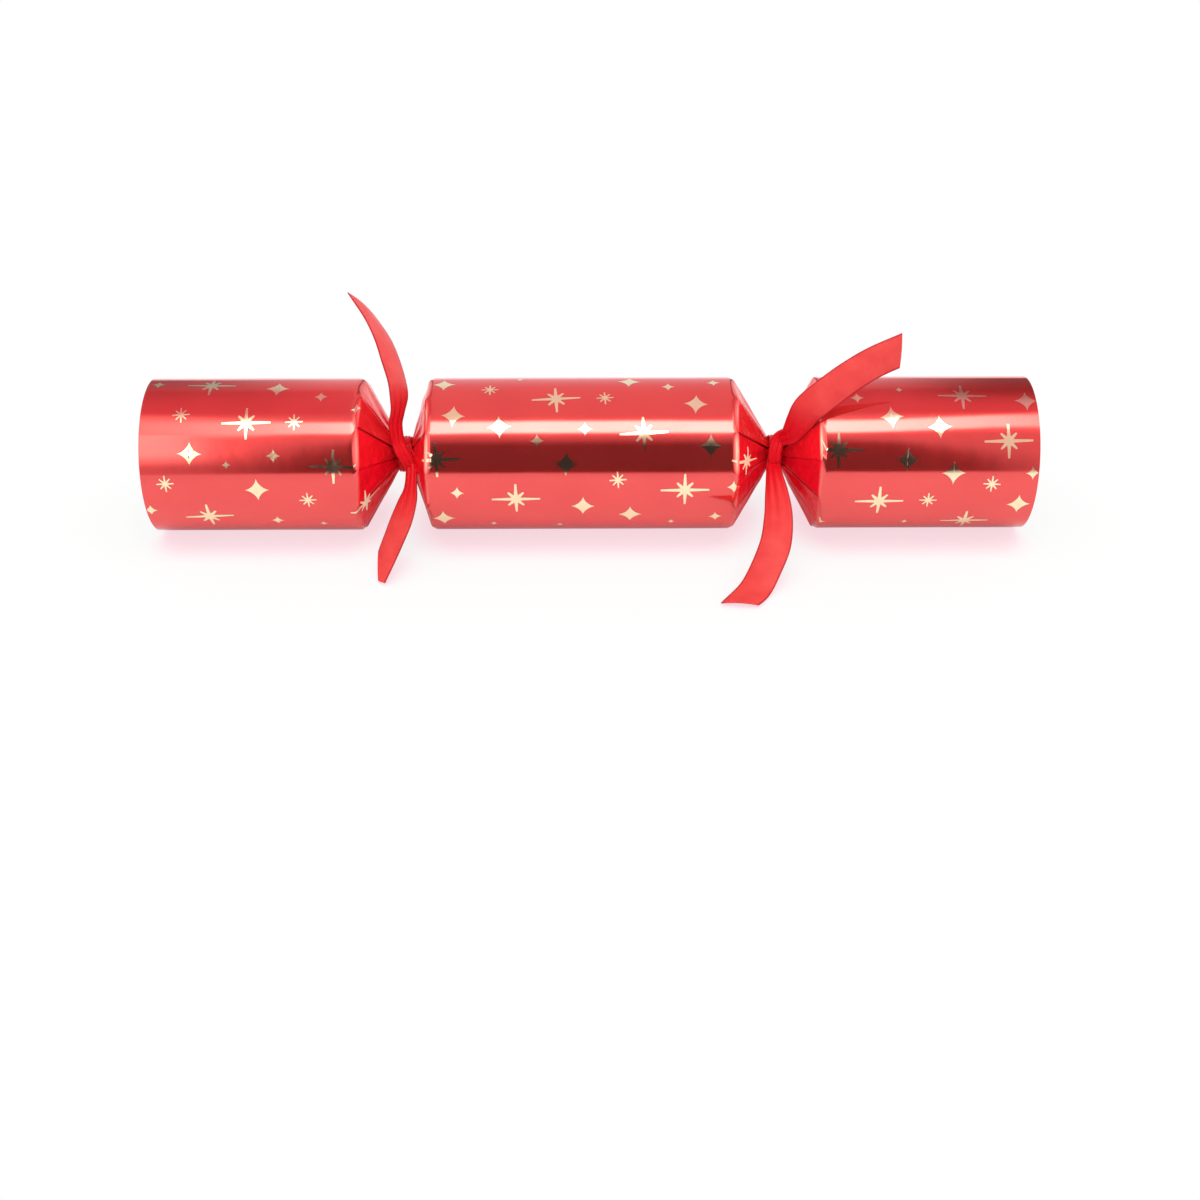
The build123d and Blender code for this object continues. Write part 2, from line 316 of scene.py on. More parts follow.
# The dark patch is the unlit side of the room, level in front
aside = calculated(tree, "DIVIDE", aim_x, calculated(tree, "MAXIMUM", forward, 0.001))
dark = patch((aside, -0.28, -0.17), (aside, 0.30, 0.225), (rise, 58.0, 40.0), (rise, 0.5, 3.5))
# Bright walls at both sides draw light lines on the rounded creases
wall = patch((offside, 0.48, 0.60), (aim_z, 0.66, 0.5))
sky = darkened(darkened(sky_light, back), product(tree, dark, dark_depth))
sky = calculated(tree, "ADD", sky, product(tree, wall, wall_light))
print("sky of", sky_light, "with walls of", wall_light)

# %% Streak and pale patch
streak_light = 7.0
streak_angle = 69.2
streak_lean = 9
pale_light = 0.33
# The streak is broader, softer and dimmer towards the sides, and leans back at the right
streak_shift = 0.035
off_middle = calculated(tree, "ABSOLUTE", calculated(tree, "SUBTRACT", aim_x, streak_shift))
broad = between(tree, off_middle, 0.20, 0.31)
streak_half = calculated(tree, "MULTIPLY_ADD", broad, 7.0, 9.4)
streak_soft = calculated(tree, "MULTIPLY_ADD", broad, 9.0, 3.5)
streak_middle = between(tree, aim_x, 0.15, 0.26, streak_angle, streak_angle + streak_lean)
off_streak = calculated(tree, "ABSOLUTE", calculated(tree, "SUBTRACT", rise, streak_middle))
outer = calculated(tree, "ADD", streak_half, streak_soft)
inner = calculated(tree, "SUBTRACT", streak_half, streak_soft)
streak = patch((off_streak, outer, inner), (off_middle, 0.10, 0.30, 1.0, 0.2), (offside, 0.8, 0.5))
# The pale patch at the left shows beside the left rim
pale = patch((aim_x, -0.215, -0.25), (aim_x, -0.36, -0.30), (rise, 64.0, 57.0), (rise, 8.0, 34.0))
lamps = calculated(tree, "MAXIMUM", streak, product(tree, pale, pale_light))
lamps = product(tree, lamps, streak_light)
print("streak at", streak_angle, "degrees")

# %% Colours of the room
white_sky = (0.97, 0.99, 1.04, 1)
rosy_sky = (1.0, 0.70, 0.72, 1)
deep_rosy_sky = (0.86, 0.34, 0.42, 1)
lamp_colour = (1.0, 0.96, 0.84)
# The foil mirrors a rosy room, with a deeper rose above the two handles. The light that falls on
# the table stays white, and seen directly, the room is as white as the far end of the table.
path = add_node(tree, "ShaderNodeLightPath").outputs
rosy = product(tree, path["Is Glossy Ray"], between(tree, rise, 168.0, 135.0))
deep_rosy = patch((offside, 0.10, 0.16), (rise, 84.0, 96.0), (rise, 152.0, 134.0))
colour = blended(tree, rosy, white_sky, blended(tree, deep_rosy, rosy_sky, deep_rosy_sky))


def scaled(colour, light):
    inputs = {0: colour, "Scale": light}
    return add_node(tree, "ShaderNodeVectorMath", inputs, operation="SCALE").outputs[0]


inputs = {0: scaled(colour, sky), 1: scaled(lamp_colour, lamps)}
light = add_node(tree, "ShaderNodeVectorMath", inputs, operation="ADD").outputs[0]
seen = blended(tree, path["Is Camera Ray"], light, pure_white)
background = add_node(tree, "ShaderNodeBackground", {"Color": seen, "Strength": 1.0}).outputs[0]
add_node(tree, "ShaderNodeOutputWorld", {"Surface": background})
bpy.context.scene.view_settings.view_transform = "Standard"
print("room painted:", len(tree.nodes), "nodes")

# %% [markdown]
# ## Foil card
# The wrapper is thin card with red mirror foil on its face. Foil is a metal with a clear lacquer:
# the metal tints what it mirrors, and the lacquer adds a faint white gloss, which is why strong
# light turns cream on it. A slow noise keeps the mirror from being perfect. Marks on the mesh tell
# where the foil is crushed and where it is worn, and they also carry painted light: the crushed
# foil's deeper red is partly a painted reflection, the worn creases carry a painted highlight, and
# the folds between pleats get painted shade. The back is bare card.

# %% Foil and card finishes
# Crushed foil is duller and a deeper red; the deeper red is partly a painted reflection of the red
# card around it
crushed_red_and_painted_reflection = (0.88, 0.006, 0.025, 1)
# Dark red painted as shade in the folds between pleats
painted_fold_shade_red = (0.14, 0.0, 0.004, 1)
# Cream of worn foil, which also serves as a painted highlight on the creases
worn_foil_and_painted_highlight = (0.96, 0.60, 0.42, 1)
red_foil, tree, shader = new_finish(
    "red_foil", Coat_Roughness=0.05, Coat_IOR=1.62, Specular_Tint=(1.0, 0.12, 0.12, 1)
)
grain, foil_red = mottled(tree, shader, 45.0, (0.80, 0.052, 0.048), (0.86, 0.064, 0.058))
foil_roughness, smooth_normal = rough_and_bumpy(tree, shader, grain, (0.09, 0.15), (0.05, 2 * mm))
crush = mark_of(tree, "neck_crush")
wear_and_highlight = mark_of(tree, "crease_wear_and_highlight")
# The crushed necks get the deeper red, which is partly a painted reflection
colour = blended(tree, crush, foil_red, crushed_red_and_painted_reflection)
# Painted shade darkens the folds between pleats
colour = blended(tree, mark_of(tree, "fold_shade"), colour, painted_fold_shade_red)
inputs = {"Vector": own_place(tree), "Scale": 330.0}
crinkles = add_node(tree, "ShaderNodeTexVoronoi", inputs).outputs["Distance"]
# Worn creases turn cream: partly wear, partly a painted highlight
feed(
    shader,
    Base_Color=blended(tree, wear_and_highlight, colour, worn_foil_and_painted_highlight),
    Metallic=product(tree, spread(tree, crush, 0.82, 0.40), spread(tree, wear_and_highlight, 1.0, 0.4)),
    Coat_Weight=spread(tree, crush, 1.0, 0.25),
    Roughness=calculated(tree, "MULTIPLY_ADD", crush, 0.22, foil_roughness),
    Normal=bumped(tree, product(tree, crinkles, crush), 0.35, 1.2 * mm, Normal=smooth_normal),
)

card_back, tree, shader = new_finish("white_card_back", Specular_IOR_Level=0.3)
grain, _ = mottled(tree, shader, 900.0, (0.72, 0.70, 0.65), (0.80, 0.79, 0.75), 6.0)
rough_and_bumpy(tree, shader, grain, (0.75, 0.95), (0.25, 0.2 * mm))
print("finishes:", red_foil.name, card_back.name)

# %% [markdown]
# ## Sleeves
# One printed sheet wraps the whole cracker. It is tied at two necks, where it gathers into twelve
# flat pleats with a fold tucked between each two, and it tears off along the barrel's creases.
# The sheet could be a cylinder with a sculpted neck, but real folds are straight, so the mesh is
# laid out in columns: each column is one line on the sheet, from rim to tear line, and it knows
# where it passes the rim, the crease, the throat and the tear line. Bends are small curves,
# because a rounded crease catches the light as a bright line.

# %% Sizes of the sheet
pleat_count = 12
pleat_step = math.tau / pleat_count
sides = {"left": -1, "right": 1}
barrel_creases = {"left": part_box("barrel_sleeve")[0].x, "right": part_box("barrel_sleeve")[1].x}
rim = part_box("right_end_sleeve")[1].x
handle_crease = 72.2 * mm
throat_end = 62.0 * mm
throat_start = 57.6 * mm
flattening_length = 4.0 * mm
throat_apothem = 5.0 * mm
pleat_half_width = 1.05 * mm
fold_radius = 3.6 * mm
card_thickness = 0.35 * mm
# The sheet's edges lap on the side away from the viewer, at this corner between two pleats
seam_corner = 10
seam_angle = (seam_corner + 0.5) * pleat_step
lap_height = 0.3 * mm
lap_angle = math.radians(40)
# Share of a pleat's width that is tucked into the fold at each of its two sides
fold_share = 0.024
column_shares = [
    0, fold_share / 2, fold_share, 0.06, 0.13, 0.23, 0.34, 0.45,
    0.55, 0.66, 0.77, 0.87, 0.94, 1 - fold_share, 1 - fold_share / 2,
]
columns = [(pleat, share) for pleat in range(pleat_count) for share in column_shares]
print(len(columns), "columns round the sheet")


# %% Places on the sheet
facet_dent = 1.3 * mm
slow_ripple = 0.09 * mm
fine_ripple = 0.03 * mm


def on_circle(x, radius, angle):
    return Vector((x, radius * math.cos(angle), axis_height + radius * math.sin(angle)))


def crease_corners(x, turn, seed, lean=0.0):
    """Corners of a creased polygon, each a little off its place, as hand folding leaves them.

    The lean sets the lower corners further along the cracker.
    """
    draw = random.Random(seed)
    corners = []
    for corner in range(pleat_count):
        angle = (corner + 0.5) * pleat_step + turn + math.radians(draw.uniform(-1.2, 1.2))
        shift = draw.uniform(-0.35, 0.35) * mm + lean * max(0, -math.sin(angle))
        corners.append(on_circle(x + shift, sleeve_radius, angle))
    return corners


def on_crease(corners, column):
    pleat, share = column
    first = corners[(seam_corner + pleat) % pleat_count]
    return first.lerp(corners[(seam_corner + pleat + 1) % pleat_count], share)


def on_throat(x, column, seed):
    """Place of a column at the tied throat: on a pleat's flat ridge or in the fold beside it."""
    pleat, share = column
    draw = random.Random(seed * 100 + pleat)
    middle = seam_angle + (pleat + 0.5) * pleat_step + math.radians(draw.uniform(-2, 2))
    ridge_height = throat_apothem + draw.uniform(-0.25, 0.05) * mm
    out = Vector((0, math.cos(middle), math.sin(middle)))
    along = Vector((0, -math.sin(middle), math.cos(middle)))
    base = Vector((x, 0, axis_height)) + out * ridge_height
    if share < fold_share:
        valley = on_circle(x, fold_radius, seam_angle + pleat * pleat_step)
        return valley.lerp(base - along * pleat_half_width, share / fold_share)
    if share > 1 - fold_share:
        valley = on_circle(x, fold_radius, seam_angle + (pleat + 1) * pleat_step)
        return valley.lerp(base + along * pleat_half_width, (1 - share) / fold_share)
    across = (share - fold_share) / (1 - 2 * fold_share) * 2 - 1
    return base + along * pleat_half_width * across


def on_tube(x, column):
    """Place of a column on the round tube, with a faint ripple and the lap of the sheet's edge."""
    pleat, share = column
    turned = (pleat + share) * pleat_step
    angle = seam_angle + turned
    spot = Vector((x * 18, math.cos(angle) * 1.1, math.sin(angle) * 1.1))
    ripple = slow_ripple * noise.noise(spot) + fine_ripple * noise.noise(spot * 3.1)
    lap = lap_height * max(0, 1 - turned / lap_angle) ** 2
    return on_circle(x, sleeve_radius + ripple + lap, angle)


def bend(before, corner, after, size, shares):
    """Points on a small curve that rounds a corner."""
    start = corner + (before - corner).normalized() * size
    end = corner + (after - corner).normalized() * size
    return [start.lerp(corner, share).lerp(corner.lerp(end, share), share) for share in shares]


def flattened(x_round, crease_point, column, share):
    """Place between the round tube and a straight crease. The tube flattens faster near it."""
    x = x_round + (crease_point.x - x_round) * share
    level = Vector((x, crease_point.y, crease_point.z))
    return on_tube(x, column).lerp(level, share**8)


def on_facet(start, end, share, column, seed):
    """Place on a neck's facet, dented a little, as crushed card is."""
    pleat, across = column
    dent = noise.noise(Vector((pleat * 5.3 + seed, across * 1.8, share * 2.4)))
    spot = start.lerp(end, share)
    spot.x += facet_dent * dent * math.sin(math.pi * across) * 4 * share * (1 - share)
    return spot


creases = {
    "left_handle": crease_corners(-handle_crease, math.radians(-4), 1, -1.6 * mm),
    "left_barrel": crease_corners(barrel_creases["left"], 0, 2),
    "right_barrel": crease_corners(barrel_creases["right"], math.radians(1), 3),
    "right_handle": crease_corners(handle_crease, math.radians(-9), 4),
}
print("creases:", list(creases))


# %% Columns of the two ends and of the barrel
crease_size = 1.1 * mm
throat_bend = 1.2 * mm
flat_shares = (0.2, 0.4, 0.55, 0.66)
full_bend = (0, 0.17, 0.33, 0.5, 0.67, 0.83, 1)
facet_shares = (0.2, 0.32, 0.44, 0.56, 0.68, 0.78)
# Wear and painted highlight along the rows of a rounded crease, strongest where the card bends most
full_wear_and_highlight = (0.3, 0.9, 1, 1, 0.9, 0.4, 0)
# The right handle's crease gets more of the wear and painted highlight than the left
handle_wear_and_highlight_shares = {"left": 0.35, "right": 1.0}
tear_start = (0, 0.17, 0.33)
tear_end = (1, 0.83, 0.67)
tube_rows = 18
barrel_rows = 24


def tear_share(number):
    """The tear line is a row of small teeth, so every other column ends a little later."""
    return 0.5 + (0.02 if number % 2 else -0.02)


def tear_points(side_name, column, shares):
    """Rounded crease at a tear line: the barrel has its first part, the neck the rest."""
    side = sides[side_name]
    corner = on_crease(creases[side_name + "_barrel"], column)
    round_x = barrel_creases[side_name] - side * flattening_length
    before = flattened(round_x, corner, column, flat_shares[-1])
    after = on_throat(side * throat_start, column, 7 + side)
    return bend(before, corner, after, crease_size, shares)


def tube_points(start, end, rows, column):
    return [on_tube(start + (end - start) * row / rows, column) for row in range(rows + 1)]


def end_column(side_name, number, column):
    """One line of an end's sheet, from the rim of the handle to the tear line."""
    side = sides[side_name]
    round_x = side * (handle_crease + flattening_length)
    crease = on_crease(creases[side_name + "_handle"], column)
    near = on_throat(side * throat_end, column, 7 + side)
    far = on_throat(side * throat_start, column, 7 + side)
    tear = on_crease(creases[side_name + "_barrel"], column)
    points = tube_points(side * rim, round_x, tube_rows, column)
    points += [flattened(round_x, crease, column, share) for share in flat_shares]
    points += bend(points[-1], crease, near, crease_size, full_bend)
    points += [on_facet(crease, near, share, column, 20 + side) for share in facet_shares]
    points += bend(crease, near, far, throat_bend, full_bend)
    points += bend(near, far, tear, throat_bend, full_bend)
    points += [on_facet(tear, far, share, column, 30 + side) for share in facet_shares[::-1]]
    points += tear_points(side_name, column, (*tear_end, tear_share(number)))
    return points


def end_marks(side_name):
    """Crush, and wear with its painted highlight, along the rows of an end's sheet."""
    smooth = tube_rows + 1 + len(flat_shares)
    neck = 2 * len(facet_shares) + 2 * len(full_bend)
    crush = [0] * smooth + [0, 0, 0, 0.3, 0.6, 0.9, 1] + [1] * neck + [1, 0.9, 0.6, 0.3]
    handle_wear_and_highlight = [mark * handle_wear_and_highlight_shares[side_name] for mark in full_wear_and_highlight]
    wear_and_highlight = [0] * smooth + handle_wear_and_highlight + [0] * neck + [0, 0.4, 0.9, 1]
    return crush, wear_and_highlight


def barrel_column(number, column):
    """One line of the barrel's sheet, from its left tear line to its right one."""
    edges = {}
    round_x = {}
    for side_name, side in sides.items():
        crease = on_crease(creases[side_name + "_barrel"], column)
        round_x[side_name] = barrel_creases[side_name] - side * flattening_length
        edge = [flattened(round_x[side_name], crease, column, share) for share in flat_shares]
        edges[side_name] = edge + tear_points(side_name, column, (*tear_start, tear_share(number)))
    tube = tube_points(round_x["left"], round_x["right"], barrel_rows, column)
    return edges["left"][::-1] + tube + edges["right"]


def barrel_marks():
    """Crush, and wear with its painted highlight, along the rows of the barrel's sheet."""
    wear_and_highlight = [1, 1, 0.9, 0.3] + [0] * len(flat_shares)
    wear_and_highlight = wear_and_highlight + [0] * (barrel_rows + 1) + wear_and_highlight[::-1]
    return [0] * len(wear_and_highlight), wear_and_highlight


print("columns described")


# %% Marks on the sheet
def pleat_angle(pleat):
    return seam_angle + (pleat + 0.5) * pleat_step


def pleat_wear_and_highlight(pleat):
    """How worn a pleat's creases are, with their painted highlight: most in front, a little on top.
    """
    facing = max(0, math.cos(pleat_angle(pleat) - math.radians(150)))
    return 0.05 + 0.95 * facing**16 + 0.3 * max(0, math.sin(pleat_angle(pleat))) ** 4


def pleat_crush(pleat):
    """How crushed a pleat is: those on top stay smoother, and get less of the painted deep red."""
    return 1 - 0.5 * max(0, math.sin(pleat_angle(pleat))) ** 2


def painted_fold_shade(pleat, share):
    """How dark the painted shade is in the fold between two pleats. Some folds are pressed harder,
    so their painted shade is deeper.
    """
    fold = (pleat + round(share)) % pleat_count
    pressed = random.Random(50 + fold).uniform(0.3, 1.0)
    return pressed * max(0, 1 - min(share, 1 - share) / (2 * fold_share))


print("most worn pleat:", max(range(pleat_count), key=pleat_wear_and_highlight))

# %% Sleeve meshes
sheet_span = 0.4
sheet_width = math.tau * sleeve_radius


def paper_lengths(line, start=0.0):
    """Length along a line of points at each of them."""
    lengths = [start]
    for before, after in zip(line, line[1:]):
        lengths.append(lengths[-1] + (after - before).length)
    return lengths


def sleeve(name, lines, lengths, crush, wear_and_highlight):
    """Mesh of the columns, with a map of the flat sheet as its UV map, and its marks: crush, wear
    with a painted highlight, and painted shade in the folds.
    """
    rows = len(lengths)
    verts = [point for line in lines for point in line]
    around = [sum(column) * pleat_step * sleeve_radius for column in columns] + [sheet_width]
    faces = []
    spots = []
    for number in range(len(lines)):
        first, second = number * rows, (number + 1) % len(lines) * rows
        here, there = around[number : number + 2]
        for row in range(rows - 1):
            faces.append((first + row, first + row + 1, second + row + 1, second + row))
            low, high = lengths[row : row + 2]
            spots += [(low, here), (high, here), (high, there), (low, there)]
    mesh = new_mesh(name, verts, faces, red_foil, card_back)
    for loop, (along, turned) in zip(mesh.uv_layers.new(name="sheet").data, spots):
        loop.uv = (along / sheet_span + 0.5, turned / sheet_span)
    marks = {"neck_crush": [], "crease_wear_and_highlight": [], "fold_shade": []}
    for pleat, share in columns:
        # Wear on the creases, with the painted highlight that rides on it
        wear_and_highlight_share = pleat_wear_and_highlight(pleat) * math.sin(math.pi * share)
        marks["neck_crush"] += [mark * pleat_crush(pleat) for mark in crush]
        marks["crease_wear_and_highlight"] += [mark * wear_and_highlight_share for mark in wear_and_highlight]
        # Painted shade in the folds
        marks["fold_shade"] += [mark * painted_fold_shade(pleat, share) for mark in crush]
    for mark_name, values in marks.items():
        mesh.attributes.new(mark_name, "FLOAT", "POINT").data.foreach_set("value", values)
    for edge in mesh.edges:
        if {vertex % rows for vertex in edge.vertices} in ({0}, {rows - 1}):
            edge.use_edge_sharp = True
    first_face = mesh.polygons[0]
    outward = first_face.center - Vector((first_face.center.x, 0, axis_height))
    if first_face.normal.dot(outward) < 0:
        mesh.flip_normals()
    piece = new_piece(name, mesh)
    # Card that is folded hard is pressed thin, so only the tube gets the full thickness
    flat_rows = [row for row in range(rows) if not (crush[row] or wear_and_highlight[row])]
    tube = [number * rows + row for number in range(len(lines)) for row in flat_rows]
    piece.vertex_groups.new(name="tube").add(tube, 1, "REPLACE")
    return piece


front_column = columns.index((6, 0.45))
lines = [barrel_column(number, column) for number, column in enumerate(columns)]
lengths = paper_lengths(lines[front_column], barrel_creases["left"])
sleeves = {"barrel": sleeve("barrel_foil", lines, lengths, *barrel_marks())}
for side_name, side in sides.items():
    lines = [end_column(side_name, number, column) for number, column in enumerate(columns)]
    back = paper_lengths(lines[front_column])
    lengths = [barrel_creases[side_name] + side * (back[-1] - length) for length in back]
    name = side_name + "_end"
    sleeves[name] = sleeve(name + "_foil", lines, lengths, *end_marks(side_name))
    print(side_name, "end of the sheet is", round(back[-1] / mm, 1), "mm long")

# %% [markdown]
# ## Star print
# The sheet is printed with gold foil stars: bursts with long side rays, four-pointed sparkles and
# small asterisks. They could be painted by the foil's shader, but printed foil has a crisp edge at
# any distance, so each star is a flat shape of its own. The print is laid out on the flat sheet,
# and Geometry Nodes copy the shapes to their places and wrap them onto the folded card: the
# sheet's UV map tells where each point of the flat print ends up.

# %% Gold finish
gold_print, tree, shader = new_finish("gold_print", Coat_Weight=0.15, Coat_Roughness=0.05)
grain, _ = mottled(tree, shader, 160.0, (0.96, 0.79, 0.50), (1.0, 0.86, 0.60))
gold_roughness, _ = rough_and_bumpy(tree, shader, grain, (0.07, 0.13), (0.05, 1 * mm))
# Gold that is crushed in the necks is scuffed, so it mirrors less there
crush = mark_of(tree, "neck_crush")
feed(
    shader,
    Metallic=spread(tree, crush, 1.0, 0.15),
    Roughness=calculated(tree, "MULTIPLY_ADD", crush, 0.35, gold_roughness),
)
print("finish:", gold_print.name)


# %% Star shapes
def ray_star(name, lengths, hub, tip_half_width):
    """Star of eight straight rays that grow out of a small hub."""
    count = len(lengths)
    turn = math.tau / count
    start, start_half = hub * math.cos(turn / 2), hub * math.sin(turn / 2)
    notches = [(ray + 0.5) * turn for ray in range(count)]
    verts = [(0, 0, 0)] + [(hub * math.cos(angle), hub * math.sin(angle), 0) for angle in notches]
    faces = []
    for ray, length in enumerate(lengths):
        right, left = (ray - 1) % count + 1, ray + 1
        faces.append((0, right, left))
        out = Vector((math.cos(ray * turn), math.sin(ray * turn), 0))
        aside = Vector((-out.y, out.x, 0))
        steps = max(2, round((length - start) / (0.9 * mm)))
        for step in range(1, steps + 1):
            share = step / steps
            middle = out * (start + (length - start) * share)
            half = aside * (start_half + (tip_half_width - start_half) * share)
            verts += [tuple(middle - half), tuple(middle + half)]
            faces.append((right, len(verts) - 2, len(verts) - 1, left))
            right, left = len(verts) - 2, len(verts) - 1
    return bpy.data.objects.new(name, new_mesh(name, verts, faces))


def sparkle_star(name, reach, hollow, steps=8):
    """Star of four points with hollow sides."""
    outline = []
    for quarter in range(4):
        turn = quarter * math.pi / 2
        for step in range(steps):
            part = step / steps * math.pi / 2
            x, y = math.cos(part) ** hollow, math.sin(part) ** hollow
            outline.append(
                (x * math.cos(turn) - y * math.sin(turn), x * math.sin(turn) + y * math.cos(turn))
            )
    verts = [(0, 0, 0)]
    faces = []
    count = len(outline)
    for ring, size in enumerate((0.3, 0.55, 0.8, 1.0)):
        verts += [(x * reach * size, y * reach * size, 0) for x, y in outline]
        for spot in range(count):
            here = 1 + ring * count + spot
            there = 1 + ring * count + (spot + 1) % count
            inner = (here - count, here, there, there - count)
            faces.append(inner if ring else (0, here, there))
    return bpy.data.objects.new(name, new_mesh(name, verts, faces))


long_ray, tall_ray, slant_ray = 7.6 * mm, 5.4 * mm, 3.5 * mm
burst_rays = [long_ray, slant_ray, tall_ray, slant_ray] * 2
star_shapes = {
    "Burst": ray_star("burst", burst_rays, 1.5 * mm, 0.3 * mm),
    "Sparkle": sparkle_star("sparkle", 3.9 * mm, 3.1),
    "Asterisk": ray_star("asterisk", [2.7 * mm, 2.3 * mm] * 4, 0.75 * mm, 0.2 * mm),
}
print("star shapes:", list(star_shapes))

# %% Places of the stars
# Kind of star, and the pixel of the photograph that shows its middle
burst, sparkle, small, tiny, asterisk = "burst", "sparkle", "small", "tiny", "asterisk"
star_sorts = {
    burst: (0, 1.0), sparkle: (1, 1.0), small: (1, 0.58), tiny: (1, 0.36), asterisk: (2, 1.0),
}
star_pixels = [
    (small, 159, 385), (burst, 212, 386), (sparkle, 278, 389), (small, 321, 397),
    (asterisk, 181, 415), (burst, 246, 423), (asterisk, 294, 422), (small, 356, 409),
    (sparkle, 189, 454), (small, 273, 456), (tiny, 226, 465), (burst, 333, 467),
    (asterisk, 165, 484), (sparkle, 257, 490), (asterisk, 308, 500), (small, 151, 510),
    (burst, 210, 516), (small, 278, 520), (tiny, 324, 523), (burst, 366, 502),
    (sparkle, 444, 385), (asterisk, 490, 390), (tiny, 520, 380), (burst, 556, 399),
    (asterisk, 605, 398), (sparkle, 629, 382), (small, 668, 387), (small, 713, 383),
    (sparkle, 696, 404), (sparkle, 453, 416), (sparkle, 499, 427), (small, 585, 429),
    (burst, 644, 433), (small, 537, 441), (sparkle, 711, 446), (burst, 436, 460),
    (sparkle, 566, 464), (asterisk, 618, 480), (small, 734, 487), (small, 457, 493),
    (burst, 516, 499), (burst, 685, 490), (sparkle, 583, 506), (sparkle, 630, 514),
    (sparkle, 444, 518), (small, 715, 516), (tiny, 494, 523), (tiny, 560, 524),
    (tiny, 671, 521), (burst, 747, 461), (tiny, 899, 390), (small, 857, 398),
    (burst, 962, 396), (sparkle, 1026, 401), (sparkle, 892, 417), (sparkle, 940, 427),
    (burst, 1009, 441), (burst, 839, 450), (sparkle, 908, 460), (sparkle, 954, 473),
    (small, 1033, 473), (asterisk, 992, 484), (burst, 879, 501), (asterisk, 928, 500),
    (sparkle, 1018, 504), (small, 820, 520), (burst, 964, 520), (tiny, 904, 521),
]
seam_margin = 8 * mm
star_gap = 10.5 * mm


def sight(across, down):
    """Direction in which the camera looks at a pixel of the photograph."""
    middle = photo_size / 2
    ahead = Vector(((across - middle) / lens_pixels, (middle - down) / lens_pixels, -1))
    return (camera.rotation_euler.to_matrix() @ ahead).normalized()


def on_sheet(across, down):
    """Place on the flat sheet that the camera sees at a pixel, or None beside the cracker."""
    hits = []
    for piece in sleeves.values():
        hit, spot, _, face = piece.ray_cast(camera.location, sight(across, down))
        if hit:
            hits.append(((spot - camera.location).length, piece.data, spot, face))
    if not hits:
        return None
    _, mesh, spot, face = min(hits, key=lambda found: found[0])
    face = mesh.polygons[face]
    shares = poly_3d_calc([mesh.vertices[vertex].co for vertex in face.vertices], spot)
    uvs = [mesh.uv_layers["sheet"].data[loop].uv for loop in face.loop_indices]
    along = sum(share * uv.x for share, uv in zip(shares, uvs))
    around = sum(share * uv.y for share, uv in zip(shares, uvs))
    return (along - 0.5) * sheet_span, around * sheet_span


def crowded(along, around):
    near_seam = min(around, sheet_width - around) < seam_margin
    return near_seam or any(
        math.hypot(along - star[0], around - star[1]) < star_gap for star in stars
    )


bpy.context.view_layer.update()
draw = random.Random(12)
stars = []
for sort, across, down in star_pixels:
    spot = on_sheet(across, down)
    if spot:
        stars.append((*spot, *star_sorts[sort], math.radians(draw.uniform(-4, 4))))
front_stars = list(stars)
# The print repeats half a turn further round, end for end
for along, around, *star in front_stars:
    spot = (-along, (around + sheet_width / 2) % sheet_width)
    if not crowded(*spot):
        stars.append((*spot, *star))
print(len(front_stars), "stars in front,", len(stars), "in all")


